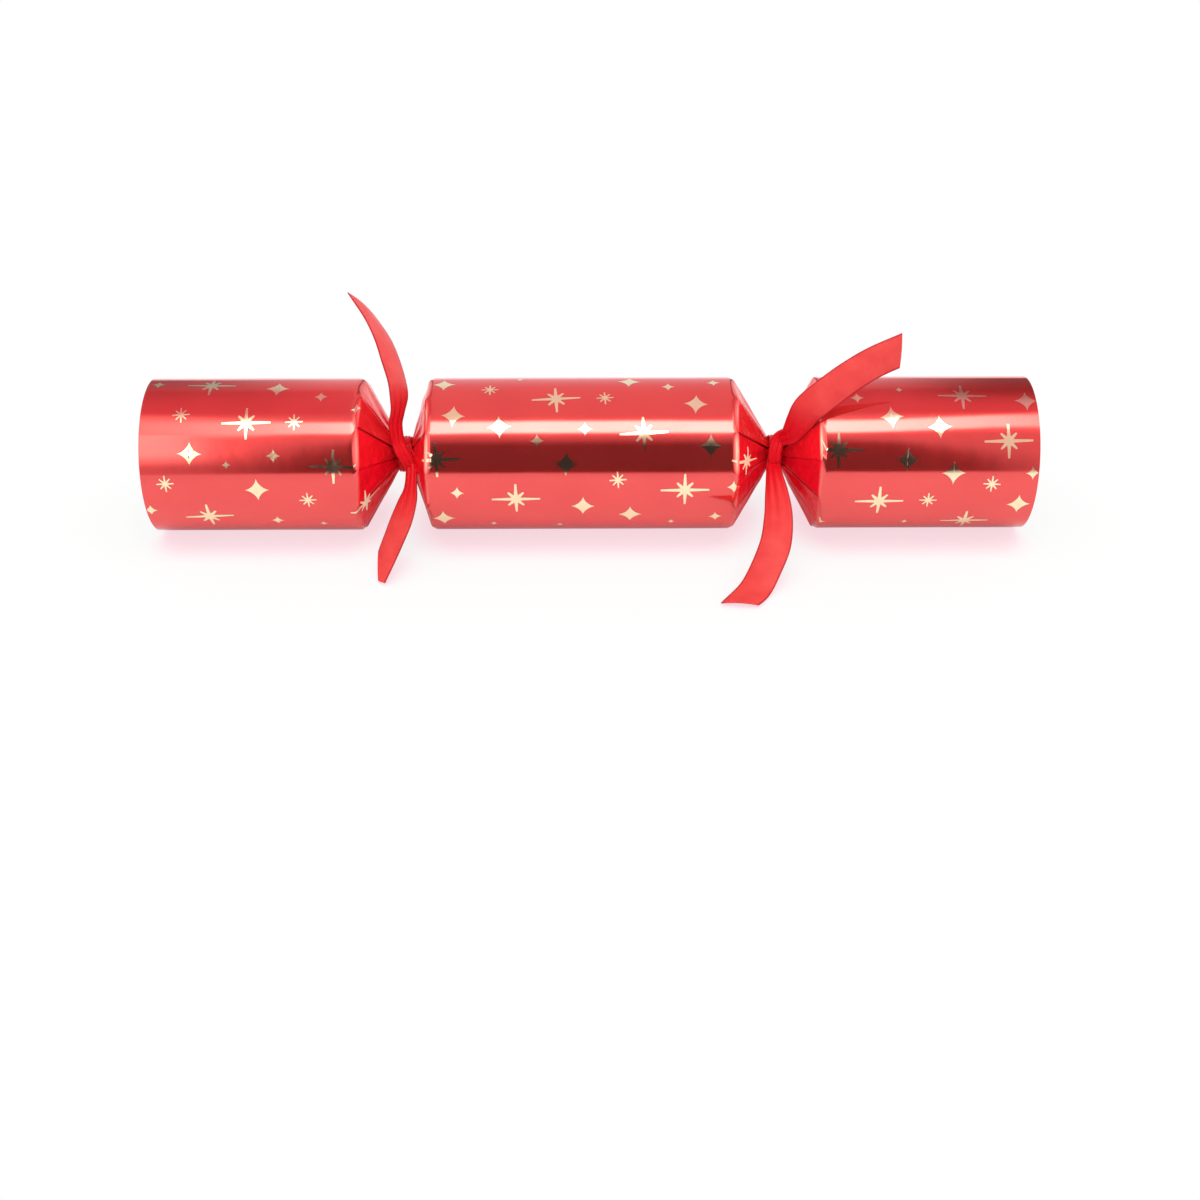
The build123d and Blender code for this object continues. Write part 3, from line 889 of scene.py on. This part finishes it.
# %% Node tree of the print
def star_tree():
    """Copies the star shapes to points on the flat sheet and wraps them onto a sleeve."""
    tree = bpy.data.node_groups.new("star_print", "GeometryNodeTree")
    sockets = {"Places": "Geometry", "Sleeve": "Object", **dict.fromkeys(star_shapes, "Object")}
    sockets.update({"Sheet Span": "Float", "Lift": "Float", "Gold": "Material"})
    for name, sort in sockets.items():
        tree.interface.new_socket(name, in_out="INPUT", socket_type="NodeSocket" + sort)
    tree.interface.new_socket("Print", in_out="OUTPUT", socket_type="NodeSocketGeometry")
    given = add_node(tree, "NodeGroupInput").outputs

    def named(name, sort):
        node = add_node(tree, "GeometryNodeInputNamedAttribute", {"Name": name}, data_type=sort)
        return node.outputs["Attribute"]

    def vector(operation, inputs):
        return add_node(tree, "ShaderNodeVectorMath", inputs, operation=operation).outputs[0]

    def next_step(kind, geometry, inputs=None, **settings):
        inputs = {"Geometry": geometry, **(inputs or {})}
        return add_node(tree, "GeometryNode" + kind, inputs, **settings).outputs["Geometry"]

    kind = named("kind", "INT")
    size = named("size", "FLOAT")
    spin = add_node(tree, "ShaderNodeCombineXYZ", {"Z": named("turn", "FLOAT")}).outputs["Vector"]
    together = add_node(tree, "GeometryNodeJoinGeometry")
    for index, name in enumerate(star_shapes):
        shape = add_node(tree, "GeometryNodeObjectInfo", {"Object": given[name]})
        chosen = add_node(
            tree, "FunctionNodeCompare", {2: kind, 3: index}, data_type="INT", operation="EQUAL"
        )
        copies = add_node(
            tree,
            "GeometryNodeInstanceOnPoints",
            {
                "Points": given["Places"],
                "Selection": chosen.outputs["Result"],
                "Instance": shape.outputs["Geometry"],
                "Rotation": spin,
                "Scale": size,
            },
        )
        tree.links.new(copies.outputs["Instances"], together.inputs["Geometry"])
    flat = next_step("RealizeInstances", together.outputs[0])

    card = add_node(tree, "GeometryNodeObjectInfo", {"Object": given["Sleeve"]}).outputs["Geometry"]
    sheet_map = named("sheet", "FLOAT_VECTOR")
    place = add_node(tree, "GeometryNodeInputPosition").outputs[0]
    normal = add_node(tree, "GeometryNodeInputNormal").outputs[0]
    spot = vector("DIVIDE", {0: place, 1: given["Sheet Span"]})
    spot = vector("ADD", {0: spot, 1: (0.5, 0, 0)})

    def sampled(value):
        """Value on the sleeve where its map of the sheet has this spot of the flat print."""
        inputs = {0: card, 1: value, 2: sheet_map, 3: spot}
        return add_node(
            tree, "GeometryNodeSampleUVSurface", inputs, data_type="FLOAT_VECTOR"
        ).outputs

    surface = sampled(place)
    off_sheet = add_node(
        tree, "FunctionNodeBooleanMath", {0: surface["Is Valid"]}, operation="NOT"
    ).outputs[0]
    crush = sampled(named("neck_crush", "FLOAT"))["Value"]
    raised = vector("SCALE", {0: sampled(normal)["Value"], "Scale": given["Lift"]})
    target = vector("ADD", {0: surface["Value"], 1: raised})
    kept = next_step("DeleteGeometry", flat, {"Selection": off_sheet})
    marked = next_step(
        "StoreNamedAttribute",
        kept,
        {"Name": "neck_crush", "Value": crush},
        data_type="FLOAT",
        domain="POINT",
    )
    wrapped = next_step("SetPosition", marked, {"Position": target})
    gilded = next_step("SetMaterial", wrapped, {"Material": given["Gold"]})
    add_node(tree, "NodeGroupOutput", {"Print": gilded})
    return tree


print_tree = star_tree()
print("star print tree:", len(print_tree.nodes), "nodes")

# %% Print the three sleeves
print_lift = 0.05 * mm


def printed(body, sleeve_piece):
    """Star print of one sleeve, as a plain mesh."""
    mesh = new_mesh(body + "_star_places", [(along, around, 0) for along, around, *_ in stars], [])
    sorts = {"kind": "INT", "size": "FLOAT", "turn": "FLOAT"}
    for column, (name, sort) in enumerate(sorts.items()):
        values = [star[2 + column] for star in stars]
        mesh.attributes.new(name, sort, "POINT").data.foreach_set("value", values)
    maker = new_piece(body + "_star_places", mesh)
    nodes = maker.modifiers.new("print", "NODES")
    nodes.node_group = print_tree
    values = {"Sleeve": sleeve_piece, **star_shapes}
    values.update({"Sheet Span": sheet_span, "Lift": print_lift, "Gold": gold_print})
    for item in print_tree.interface.items_tree:
        if item.name in values:
            nodes[item.identifier] = values[item.name]
    bpy.context.view_layer.update()
    seen = maker.evaluated_get(bpy.context.evaluated_depsgraph_get())
    result = bpy.data.meshes.new_from_object(seen)
    bpy.data.objects.remove(maker)
    result.name = body + "_star_print"
    return new_piece(body + "_star_print", result)


for body, piece in sleeves.items():
    print_piece = printed(body, piece)
    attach(print_piece, body)
    print(print_piece.name, len(print_piece.data.polygons), "faces")
for shape in star_shapes.values():
    bpy.data.objects.remove(shape)

# %% [markdown]
# The card gets its thickness last, because the print needs a sheet that covers its map only once.
# Solidify grows the card inwards, and gives the new inner side the bare back. The cut edges keep
# the foil's red, because a torn edge as thin as this one shows hardly any white.

# %% Card thickness
pressed_share = 0.1
for body, piece in sleeves.items():
    wall = piece.modifiers.new("card", "SOLIDIFY")
    wall.thickness = card_thickness
    wall.offset = -1
    wall.material_offset = 1
    wall.vertex_group = "tube"
    wall.thickness_vertex_group = pressed_share
    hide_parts(body + "_sleeve")
    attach(piece, body)
    print(piece.name, "replaces", body + "_sleeve")

# %% [markdown]
# ## Satin ribbons
# Each neck is tied with one length of satin ribbon: it goes once round the throat, is knotted in
# front, and its two tails fly off. Satin could be simulated as cloth, but a knotted tail holds the
# curve that the knot gave it, so each run of ribbon is laid along a smooth line through a few
# stations. A station has a place, the way the ribbon's face looks there, its width, and how much
# it is gathered. Gathered ribbon keeps its width by folding, so the mesh gets folds there.

# %% Satin finish
# Deep red painted as shade on the satin near the knots and along a strained tail
knot_shade_red = (0.70, 0.004, 0.014, 1)
selvedge_red = (0.42, 0.008, 0.014, 1)
satin, tree, shader = new_finish(
    "red_satin",
    Sheen_Weight=0.12,
    Sheen_Roughness=0.4,
    Sheen_Tint=(1.0, 0.35, 0.32, 1),
    Specular_IOR_Level=0.35,
    Specular_Tint=(1.0, 0.4, 0.38, 1),
)
place = add_node(tree, "ShaderNodeUVMap", uv_map="ribbon").outputs["UV"]
across = add_node(tree, "ShaderNodeSeparateXYZ", {0: place}).outputs["X"]
inputs = {"Vector": place, "Scale": 1.6, "Detail": 3.0}
fold_noise = add_node(tree, "ShaderNodeTexNoise", inputs).outputs["Fac"]
colour = two_tone(tree, fold_noise, (0.64, 0.042, 0.044), (0.73, 0.070, 0.062), 0.3, 0.75)
# Painted shade: the satin turns a deeper red near the knots
colour = blended(tree, mark_of(tree, "painted_knot_shade"), colour, knot_shade_red)
off_middle = calculated(tree, "ABSOLUTE", calculated(tree, "SUBTRACT", across, 0.5))
selvedge = between(tree, off_middle, 0.44, 0.49, ends="LINEAR")
feed(shader, Base_Color=blended(tree, selvedge, colour, selvedge_red))
threads = add_node(
    tree,
    "ShaderNodeTexWave",
    {"Vector": place, "Scale": 14.0, "Distortion": 0.6, "Detail": 1.0},
    wave_type="BANDS",
    bands_direction="X",
)
rough_and_bumpy(tree, shader, threads.outputs["Fac"], (0.34, 0.46), (0.12, 0.1 * mm))
print("finish:", satin.name)


# %% Runs of ribbon
ribbon_width = 10.0 * mm
ribbon_thickness = 0.25 * mm
row_step = 0.8 * mm
across_steps = 16
cupping = 0.05
# Turn of the folds along the ribbon, in radians a metre
fold_drift = 40
# Lost width at which the painted shade near a knot is full, and length over which the painted shade
# fades
full_shade_loss = 5 * mm
shade_fade = 14 * mm


def flowing(stations):
    """Smooth line of numbers through the stations, whose first three numbers are a place."""
    rows = []
    last = len(stations) - 1
    for number in range(last):
        start, end = stations[number], stations[number + 1]
        before, after = stations[max(number - 1, 0)], stations[min(number + 2, last)]
        gap = (Vector(end[:3]) - Vector(start[:3])).length
        steps = max(1, round(gap / row_step))
        for step in range(steps):
            t = step / steps
            row = []
            for a, b, c, d in zip(before, start, end, after):
                square, cube = 2 * a - 5 * b + 4 * c - d, 3 * b - a - 3 * c + d
                row.append(0.5 * (2 * b + (c - a) * t + square * t * t + cube * t**3))
            rows.append(row)
    rows.append(list(stations[last]))
    return rows


def ribbon_run(stations, cut=0.0, blunt=1.0, folds=3, phase=0.0, strained=0.0):
    """Rows of points across one run of ribbon, the length at each row, and the painted shade there.

    A station is a place (3 numbers), a facing (3), a width and a depth of gathering. The end is
    cut at a slant, up to where the tip is left blunt. The shaded length, along which shade is
    painted into the satin, starts at the knot.
    """
    rows = flowing(stations)
    places = [Vector(row[:3]) for row in rows]
    lengths = paper_lengths(places)
    grid = []
    painted_knot_shade = []
    for number, (row, length) in enumerate(zip(rows, lengths)):
        along = (places[min(number + 1, len(rows) - 1)] - places[max(number - 1, 0)]).normalized()
        sideways = along.cross(Vector(row[3:6])).normalized()
        out = sideways.cross(along).normalized()
        width, gather = row[6:]
        near_end = max(0, 1 - (lengths[-1] - length) / ribbon_width)
        line = []
        for step in range(across_steps + 1):
            across = step / across_steps * 2 - 1
            lift = gather * math.cos(folds * math.pi * across + phase + fold_drift * length)
            lift += cupping * width * (1 - across * across)
            slant = min(across * math.tan(cut), blunt * abs(math.tan(cut)))
            slide = along * (slant * width / 2 * near_end)
            line.append(places[number] + sideways * across * width / 2 + out * lift + slide)
        grid.append(line)
        # Painted shade, deep where gathering narrows the ribbon and along the shaded length from
        # the knot
        narrowed = min(1, max(0, (ribbon_width - width) / full_shade_loss)) ** 0.6
        painted_knot_shade.append(max(narrowed, min(1, (strained - length) / shade_fade)))
    return grid, lengths, painted_knot_shade


print("ribbon of", round(ribbon_width / mm), "mm")


# %% Pieces of ribbon
knot_angle = math.radians(30)
knot_out = Vector((0, -math.cos(knot_angle), math.sin(knot_angle)))
knot_up = Vector((0, math.sin(knot_angle), math.cos(knot_angle)))
knot_reach = 7.36 * mm
throat_middle = (throat_start + throat_end) / 2
loop_radius = 5.5 * mm
loop_width = 3.8 * mm
loop_gather = 0.15 * mm
loop_steps = 36
# Degrees between the knot's middle and each end of the loop
loop_gap = 12


def thicken(piece, thickness):
    """Gives a thin sheet its thickness, to both sides alike."""
    both_sides = piece.modifiers.new("thickness", "SOLIDIFY")
    both_sides.thickness = thickness
    both_sides.offset = 0


def ribbon_piece(name, runs):
    """One mesh of several runs of ribbon, with a UV map that follows each run."""
    verts, faces, spots, knot_shade_marks = [], [], [], []
    for grid, lengths, painted_knot_shade in runs:
        first = len(verts)
        wide = len(grid[0])
        verts += [point for line in grid for point in line]
        # Painted shade of each row, for the satin's colour
        knot_shade_marks += [mark for mark in painted_knot_shade for step in range(wide)]
        for row in range(len(grid) - 1):
            low, high = lengths[row] / ribbon_width, lengths[row + 1] / ribbon_width
            for step in range(wide - 1):
                corner = first + row * wide + step
                faces.append((corner, corner + 1, corner + wide + 1, corner + wide))
                left, right = step / (wide - 1), (step + 1) / (wide - 1)
                spots += [(left, low), (right, low), (right, high), (left, high)]
    mesh = new_mesh(name, verts, faces, satin)
    for loop, spot in zip(mesh.uv_layers.new(name="ribbon").data, spots):
        loop.uv = spot
    mesh.attributes.new("painted_knot_shade", "FLOAT", "POINT").data.foreach_set("value", knot_shade_marks)
    piece = new_piece(name, mesh)
    thicken(piece, ribbon_thickness)
    return piece


def throat_loop(side):
    """Run of ribbon once round the throat, gathered, from the knot to the knot."""
    stations = []
    for step in range(loop_steps + 1):
        turned = loop_gap + step * (360 - 2 * loop_gap) / loop_steps
        angle = math.pi - knot_angle + math.radians(turned)
        out = Vector((0, math.cos(angle), math.sin(angle)))
        place = Vector((side * throat_middle, 0, axis_height)) + out * loop_radius
        stations.append([*place, *out, loop_width, loop_gather])
    return ribbon_run(stations, folds=4)


def at_knot(side, x, out, up):
    """Place near a knot: along the cracker, out of the throat, and up across it, in millimetres."""
    middle = Vector((side * throat_middle, 0, axis_height)) + knot_out * knot_reach
    return middle + (Vector((x, 0, 0)) + knot_out * out + knot_up * up) * mm


def from_knot(side, x, y, z):
    """Place given as an offset from a knot's middle, in millimetres."""
    return at_knot(side, 0, 0, 0) + Vector((x, y, z)) * mm


def tail(side, rows, **shape):
    """Run from a knot, by rows of a place beside it, a facing, a width and a gathering."""
    stations = [
        [*place(side, x, y, z), *facing, width * mm, gather * mm]
        for place, x, y, z, facing, width, gather in rows
    ]
    return ribbon_run(stations, **shape)


print("knots", round(knot_reach / mm, 1), "mm out of the throats")

# %% Left ribbon
front = tuple(knot_out)
left_upper = tail(
    -1,
    [
        (at_knot, 2.0, -1.6, -3.4, front, 3.6, 0.2),
        (at_knot, 2.2, 0.6, -4.0, front, 3.8, 0.2),
        (at_knot, 1.4, 1.8, -2.2, front, 4.2, 0.2),
        (at_knot, -0.4, 2.1, 0.8, (0.1, -0.87, 0.5), 4.2, 0.2),
        (at_knot, -1.6, 1.5, 4.2, (0.25, -0.8, 0.5), 4.2, 0.25),
        (from_knot, -2.1, 2.9, 9.2, (0.6, -0.7, 0.4), 5.0, 0.3),
        (from_knot, -1.3, 4.3, 12.8, (0.76, -0.60, 0.27), 6.0, 0.3),
        (from_knot, -0.8, 6.2, 17.2, (0.82, -0.51, 0.27), 8.5, 0.15),
        (from_knot, -1.4, 8.6, 21.3, (0.86, -0.30, 0.41), 10, 0.03),
        (from_knot, -3.3, 12.3, 26.6, (0.82, -0.24, 0.52), 10, 0),
        (from_knot, -5.7, 16.4, 31.8, (0.81, -0.12, 0.57), 10, 0),
        (from_knot, -9.2, 20.5, 36.8, (0.80, 0.04, 0.60), 10, 0),
        (from_knot, -13.2, 24.2, 41.3, (0.79, 0.12, 0.61), 10, 0),
    ],
    cut=math.radians(-36),
)
table_drop = at_knot(-1, 0, 0, 0).z / mm - 0.2
left_lower = tail(
    -1,
    [
        (at_knot, 0.6, -1.4, 2.4, front, 3.4, 0.2),
        (at_knot, 1.4, 0.2, 0.6, front, 3.4, 0.2),
        (at_knot, 2.4, 0.6, -2.6, (-0.3, -0.8, 0.5), 3.8, 0.2),
        (from_knot, 2.5, -7.4, -0.244 * table_drop, (-0.61, -0.62, 0.50), 5.5, 0.25),
        (from_knot, 1.6, -12.0, -0.369 * table_drop, (-0.53, -0.43, 0.73), 8.0, 0.15),
        (from_knot, -0.3, -16.9, -0.528 * table_drop, (-0.56, -0.40, 0.73), 10, 0.03),
        (from_knot, -2.5, -21.2, -0.678 * table_drop, (-0.58, -0.39, 0.72), 10, 0),
        (from_knot, -4.9, -25.0, -0.831 * table_drop, (-0.60, -0.37, 0.71), 10, 0),
        (from_knot, -7.0, -28.6, -0.955 * table_drop, (-0.62, -0.34, 0.71), 10, 0),
    ],
    cut=math.radians(-54),
    blunt=0.4,
    phase=1.0,
)
left_tails = (left_upper, left_lower)
left_ribbon = ribbon_piece("left_satin_ribbon", [throat_loop(-1), *left_tails])
print("left tails:", [round(lengths[-1] / mm) for _, lengths, _ in left_tails], "mm")

# %% Right ribbon
right_upper = tail(
    1,
    [
        (at_knot, -0.4, -1.6, -3.4, front, 3.6, 0.2),
        (at_knot, -0.5, 0.8, -3.9, front, 3.8, 0.2),
        (at_knot, -0.8, 1.9, -2.0, front, 4.0, 0.2),
        (at_knot, -0.5, 2.1, 1.0, front, 4.2, 0.2),
        (at_knot, 0.8, 1.7, 4.2, front, 4.8, 0.25),
        (from_knot, 3.6, -2.3, 7.7, (-0.33, -0.94, 0.1), 6.2, 0.25),
        (from_knot, 6.0, -5.0, 14.0, (-0.2, -0.93, 0.2), 8.6, 0.12),
        (from_knot, 8.2, -6.8, 19.6, (0, -0.92, 0.35), 10, 0.03),
        (from_knot, 13.2, -6.1, 24.1, (0.08, -0.88, 0.47), 10, 0),
        (from_knot, 19.9, -3.5, 28.3, (0.15, -0.88, 0.45), 10, 0),
        (from_knot, 28.0, 0.2, 31.7, (0.22, -0.88, 0.4), 10, 0),
        (from_knot, 37.0, 3.9, 34.1, (0.27, -0.89, 0.36), 10, 0),
    ],
    cut=math.radians(-23),
    # Shade is painted 36 mm along this tail from the knot
    strained=36 * mm,
)
right_lower = tail(
    1,
    [
        (at_knot, 0.0, -1.4, 2.4, front, 3.4, 0.2),
        (at_knot, -0.4, 0.2, 0.4, front, 3.4, 0.2),
        (at_knot, -1.1, 0.6, -2.8, front, 4.0, 0.2),
        (from_knot, -1.3, -7.5, -0.121 * table_drop, (-0.3, -0.8, 0.45), 5.4, 0.25),
        (from_knot, -0.8, -13.6, -0.254 * table_drop, (-0.3, -0.8, 0.45), 7.6, 0.18),
        (from_knot, -0.5, -19.6, -0.428 * table_drop, (-0.3, -0.8, 0.45), 9.2, 0.08),
        (from_knot, -1.6, -26.1, -0.632 * table_drop, (-0.3, -0.8, 0.45), 10, 0),
        (from_knot, -4.8, -32.1, -0.826 * table_drop, (-0.2, -0.55, 0.75), 10, 0),
        (from_knot, -8.7, -38.6, -0.954 * table_drop, (0, -0.25, 0.95), 10, 0),
        (from_knot, -14.0, -45.9, -0.969 * table_drop, (0, 0, 1), 10, 0),
    ],
    cut=math.radians(30),
    phase=1.0,
)
right_tails = (right_upper, right_lower)
right_ribbon = ribbon_piece("right_satin_ribbon", [throat_loop(1), *right_tails])
for side_name, ribbon, tails in (
    ("left", left_ribbon, left_tails),
    ("right", right_ribbon, right_tails),
):
    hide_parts(side_name + "_ribbon")
    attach(ribbon, side_name + "_end")

# %% [markdown]
# ## Card tubes and the snap
# Inside each sleeve a rolled greyboard tube keeps it round. The snap runs from end to end: two
# brown card strips that lap in the middle, with a rough patch on each, held by a paper band, and
# glued to the floor of each handle. These are stiff and plain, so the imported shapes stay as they
# are, and only get their finishes: fibres in the card, specks in the board, grains on the patches.

# %% Finishes of the inner pieces
def coat_nodes(material, *names):
    """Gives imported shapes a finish."""
    for name in names:
        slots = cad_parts[name].data.materials
        if not slots:
            slots.append(material)
        for number in range(len(slots)):
            slots[number] = material


def plain_finish(name, grain_scale, dark, light, rough, bump, **values):
    """Finish of two tones in a fine grain that also roughens it."""
    material, tree, shader = new_finish(name, **values)
    grain, _ = mottled(tree, shader, grain_scale, dark, light, 6.0)
    rough_and_bumpy(tree, shader, grain, rough, bump)
    return material


greyboard = plain_finish(
    "greyboard", 1400.0, (0.40, 0.35, 0.29), (0.60, 0.54, 0.46), (0.8, 0.98), (0.3, 0.2 * mm)
)
brown_card = plain_finish(
    "brown_card", 900.0, (0.36, 0.25, 0.15), (0.52, 0.39, 0.25), (0.7, 0.92), (0.3, 0.2 * mm)
)
band_paper = plain_finish(
    "band_paper", 1200.0, (0.68, 0.65, 0.57), (0.80, 0.77, 0.70), (0.75, 0.95), (0.25, 0.2 * mm)
)
snap_powder = plain_finish(
    "snap_powder", 2600.0, (0.10, 0.10, 0.11), (0.34, 0.33, 0.35), (0.7, 1.0), (0.8, 0.3 * mm)
)
snap_grains = plain_finish(
    "snap_grains", 2600.0, (0.10, 0.06, 0.04), (0.32, 0.21, 0.15), (0.6, 1.0), (0.9, 0.3 * mm)
)
glue_dab = plain_finish(
    "glue_dab", 220.0, (0.70, 0.64, 0.48), (0.84, 0.79, 0.64), (0.22, 0.4), (0.2, 0.6 * mm),
    Subsurface_Weight=0.35, Subsurface_Scale=2 * mm, Subsurface_Radius=(1.0, 0.8, 0.5),
)
coat_nodes(greyboard, "barrel_liner", "left_end_liner", "right_end_liner")
coat_nodes(brown_card, "left_snap_strip", "right_snap_strip")
coat_nodes(band_paper, "snap_band")
coat_nodes(snap_powder, "snap_charge")
coat_nodes(snap_grains, "snap_grit")
coat_nodes(glue_dab, "left_snap_glue", "right_snap_glue")
print("inner finishes:", greyboard.name, brown_card.name, band_paper.name, glue_dab.name)

# %% [markdown]
# ## Paper hat and motto
# The hat is a tissue crown, folded flat and rolled up tight, with the motto slip wrapped round
# it. A roll is a sheet along a spiral, so both are made by one function. Tissue never rolls
# evenly, so its layers wander in and out a little and its ends are ragged.

# %% Rolled papers
tissue = plain_finish(
    "green_tissue", 260.0, (0.035, 0.24, 0.085), (0.07, 0.36, 0.14), (0.6, 0.85), (0.5, 0.6 * mm),
    Sheen_Weight=0.2,
)
motto_paper = plain_finish(
    "motto_paper", 1000.0, (0.76, 0.75, 0.71), (0.84, 0.83, 0.79), (0.7, 0.9), (0.2, 0.2 * mm)
)
roll_height = 10.575 * mm
turn_steps = 40
along_steps = 28


def rolled_paper(name, material, node, inner, pitch, turns, thickness, crumple, seed):
    """Sheet rolled on a spiral about the middle of a CAD node, and its flat size."""
    low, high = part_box(node)
    steps_round = round(turns * turn_steps)
    shift = Vector((seed * 3.7, seed * 1.3, 0))
    verts, faces = [], []
    unrolled = 0.0
    for step in range(steps_round + 1):
        angle = step / turn_steps * math.tau
        radius = inner + pitch * angle / math.tau
        unrolled += radius * math.tau / turn_steps if step else 0
        for row in range(along_steps + 1):
            x = low.x + (high.x - low.x) * row / along_steps
            ring = Vector((0, math.cos(angle), math.sin(angle))) * radius
            wander = crumple * noise.noise(Vector((x * 160, ring.y * 260, ring.z * 260)) + shift)
            last = row // along_steps
            if row in (0, along_steps):
                ragged = abs(crumple * 2.2 * noise.noise(Vector((angle * 1.7, seed, last))))
                x += -ragged if last else ragged
            place = on_circle(x, radius + wander, angle)
            verts.append(place + Vector((0, 0, roll_height - axis_height)))
    for step in range(steps_round):
        for row in range(along_steps):
            corner = step * (along_steps + 1) + row
            faces.append((corner, corner + 1, corner + along_steps + 2, corner + along_steps + 1))
    piece = new_piece(name, new_mesh(name, verts, faces, material))
    thicken(piece, thickness)
    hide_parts(node)
    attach(piece, "hat")
    flat = (high.x - low.x, unrolled)
    print(name, "unrolls to", [round(size / mm) for size in flat], "mm")
    return piece, flat


hat, hat_flat = rolled_paper(
    "tissue_hat_roll", tissue, "paper_hat", inner=2.4 * mm, pitch=1.5 * mm, turns=3.75,
    thickness=0.8 * mm, crumple=0.14 * mm, seed=5,
)
motto, motto_flat = rolled_paper(
    "motto_slip_roll", motto_paper, "motto_slip", inner=8.85 * mm, pitch=0.5 * mm, turns=1.45,
    thickness=0.18 * mm, crumple=0.03 * mm, seed=8,
)

# %% [markdown]
# ## Spinning top
# The gift is a small moulded spinning top on a pin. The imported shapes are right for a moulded
# toy, so they stay. The body gets glossy plastic with moulded rings of two tones, the pin another.

# %% Toy finishes
top_plastic, tree, shader = new_finish("top_plastic", Coat_Weight=0.3, Coat_Roughness=0.1)
rings = add_node(
    tree,
    "ShaderNodeTexWave",
    {"Vector": own_place(tree), "Scale": 55.0, "Distortion": 0.15},
    wave_type="BANDS",
    bands_direction="X",
).outputs["Fac"]
feed(shader, Base_Color=two_tone(tree, rings, (0.02, 0.08, 0.42), (0.05, 0.16, 0.60), 0.42, 0.5))
rough_and_bumpy(tree, shader, rings, (0.25, 0.36), (0.15, 0.3 * mm))
pin_plastic = plain_finish(
    "pin_plastic", 350.0, (0.80, 0.56, 0.04), (0.88, 0.66, 0.07), (0.25, 0.38), (0.1, 0.3 * mm)
)
coat_nodes(top_plastic, "top_body")
coat_nodes(pin_plastic, "top_spindle")
print("toy finishes:", top_plastic.name, pin_plastic.name)
